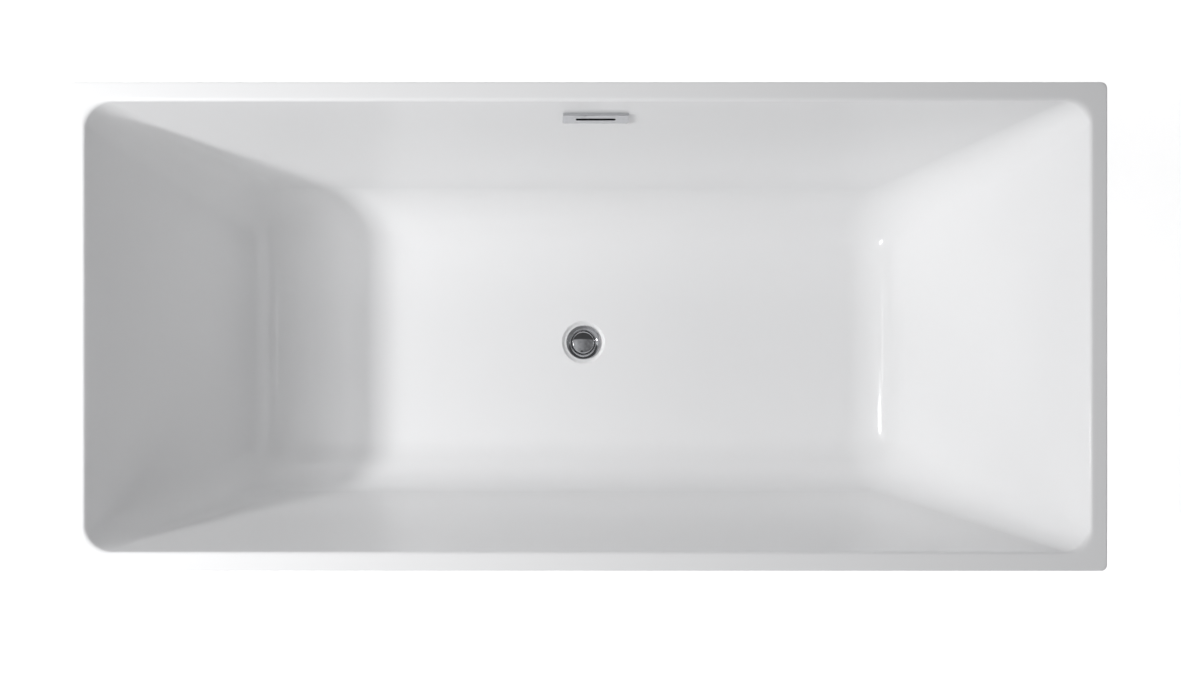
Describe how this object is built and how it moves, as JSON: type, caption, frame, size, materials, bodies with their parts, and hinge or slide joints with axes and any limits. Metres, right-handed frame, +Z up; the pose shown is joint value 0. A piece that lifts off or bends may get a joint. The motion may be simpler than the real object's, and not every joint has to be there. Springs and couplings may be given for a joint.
{
  "type": "freestanding bathtub",
  "caption": "Rectangular double-ended freestanding bathtub: white acrylic basin and skirt, steel frame on levelling feet, central pop-up waste and slotted wall overflow.",
  "frame": {"origin": "on the ground below the middle of the tub", "axes": "+X along the tub, +Y towards the wall with the overflow, +Z up"},
  "size_m": [1.7, 0.8, 0.58],
  "materials": {
    "acrylic": "high gloss white",
    "plywood": "raw board under resin",
    "galvanised_steel": "galvanised",
    "zinc_steel": "zinc plated",
    "chrome": "polished",
    "brass": "turned",
    "rubber": "matt",
    "foam": "closed-cell foam",
    "black_plastic": "moulded",
    "white_plastic": "moulded",
    "grey_plastic": "moulded"
  },
  "bodies": {
    "tub": {"basin_shell": "acrylic", "outer_skirt": "acrylic", "base_board": "plywood", "long_rail_front": "galvanised_steel", "long_rail_back": "galvanised_steel", "cross_rail_left": "galvanised_steel", "cross_rail_middle": "galvanised_steel", "cross_rail_right": "galvanised_steel", "rail_cap_front_left": "black_plastic", "rail_cap_front_right": "black_plastic", "rail_cap_back_left": "black_plastic", "rail_cap_back_right": "black_plastic", "overflow_housing": "black_plastic", "frame_screw_1": "zinc_steel", "frame_screw_2": "zinc_steel", "frame_screw_3": "zinc_steel", "frame_screw_4": "zinc_steel", "overflow_screw_left": "zinc_steel", "overflow_screw_right": "zinc_steel", "hose_clamp_top": "zinc_steel", "hose_clamp_bottom": "zinc_steel", "foot_sleeve_front_left": "zinc_steel", "foot_nut_front_left": "zinc_steel", "foot_sleeve_front_middle": "zinc_steel", "foot_nut_front_middle": "zinc_steel", "foot_sleeve_front_right": "zinc_steel", "foot_nut_front_right": "zinc_steel", "foot_sleeve_back_left": "zinc_steel", "foot_nut_back_left": "zinc_steel", "foot_sleeve_back_middle": "zinc_steel", "foot_nut_back_middle": "zinc_steel", "foot_sleeve_back_right": "zinc_steel", "foot_nut_back_right": "zinc_steel", "drain_flange": "chrome", "overflow_cover": "chrome", "drain_seal": "foam", "drain_gasket": "rubber", "overflow_gasket": "rubber", "stopper_cartridge": "brass", "waste_body": "white_plastic", "union_nut": "white_plastic", "waste_elbow": "white_plastic", "overflow_hose": "grey_plastic"},
    "stopper": {"stopper_cap": "chrome", "stopper_seal": "rubber", "stopper_stem": "brass"},
    "pad_front_left": {"foot_pad_front_left": "black_plastic"},
    "stud_front_left": {"foot_stud_front_left": "zinc_steel"},
    "pad_front_middle": {"foot_pad_front_middle": "black_plastic"},
    "stud_front_middle": {"foot_stud_front_middle": "zinc_steel"},
    "pad_front_right": {"foot_pad_front_right": "black_plastic"},
    "stud_front_right": {"foot_stud_front_right": "zinc_steel"},
    "pad_back_left": {"foot_pad_back_left": "black_plastic"},
    "stud_back_left": {"foot_stud_back_left": "zinc_steel"},
    "pad_back_middle": {"foot_pad_back_middle": "black_plastic"},
    "stud_back_middle": {"foot_stud_back_middle": "zinc_steel"},
    "pad_back_right": {"foot_pad_back_right": "black_plastic"},
    "stud_back_right": {"foot_stud_back_right": "zinc_steel"}
  },
  "joints": [
    {"name": "stopper_lift", "type": "slide", "parent": "tub", "child": "stopper", "axis": [0, 0, 1], "range_m": [0, 0.01]},
    {"name": "foot_slide_front_left", "type": "slide", "parent": "tub", "child": "pad_front_left", "axis": [0, 0, -1], "range_m": [0, 0.02]},
    {"name": "foot_turn_front_left", "type": "hinge", "parent": "pad_front_left", "child": "stud_front_left", "pos_m": [-0.5, -0.22, 0], "axis": [0, 0, -1], "range_deg": [0, 4800]},
    {"name": "foot_slide_front_middle", "type": "slide", "parent": "tub", "child": "pad_front_middle", "axis": [0, 0, -1], "range_m": [0, 0.02]},
    {"name": "foot_turn_front_middle", "type": "hinge", "parent": "pad_front_middle", "child": "stud_front_middle", "pos_m": [-0.12, -0.22, 0], "axis": [0, 0, -1], "range_deg": [0, 4800]},
    {"name": "foot_slide_front_right", "type": "slide", "parent": "tub", "child": "pad_front_right", "axis": [0, 0, -1], "range_m": [0, 0.02]},
    {"name": "foot_turn_front_right", "type": "hinge", "parent": "pad_front_right", "child": "stud_front_right", "pos_m": [0.5, -0.22, 0], "axis": [0, 0, -1], "range_deg": [0, 4800]},
    {"name": "foot_slide_back_left", "type": "slide", "parent": "tub", "child": "pad_back_left", "axis": [0, 0, -1], "range_m": [0, 0.02]},
    {"name": "foot_turn_back_left", "type": "hinge", "parent": "pad_back_left", "child": "stud_back_left", "pos_m": [-0.5, 0.22, 0], "axis": [0, 0, -1], "range_deg": [0, 4800]},
    {"name": "foot_slide_back_middle", "type": "slide", "parent": "tub", "child": "pad_back_middle", "axis": [0, 0, -1], "range_m": [0, 0.02]},
    {"name": "foot_turn_back_middle", "type": "hinge", "parent": "pad_back_middle", "child": "stud_back_middle", "pos_m": [-0.12, 0.22, 0], "axis": [0, 0, -1], "range_deg": [0, 4800]},
    {"name": "foot_slide_back_right", "type": "slide", "parent": "tub", "child": "pad_back_right", "axis": [0, 0, -1], "range_m": [0, 0.02]},
    {"name": "foot_turn_back_right", "type": "hinge", "parent": "pad_back_right", "child": "stud_back_right", "pos_m": [0.5, 0.22, 0], "axis": [0, 0, -1], "range_deg": [0, 4800]}
  ],
  "couplings": [
    {"joint": "foot_turn_front_left", "follows": "foot_slide_front_left", "rad_per_m": 4188.7},
    {"joint": "foot_turn_front_middle", "follows": "foot_slide_front_middle", "rad_per_m": 4188.7},
    {"joint": "foot_turn_front_right", "follows": "foot_slide_front_right", "rad_per_m": 4188.7},
    {"joint": "foot_turn_back_left", "follows": "foot_slide_back_left", "rad_per_m": 4188.7},
    {"joint": "foot_turn_back_middle", "follows": "foot_slide_back_middle", "rad_per_m": 4188.7},
    {"joint": "foot_turn_back_right", "follows": "foot_slide_back_right", "rad_per_m": 4188.7}
  ]
}
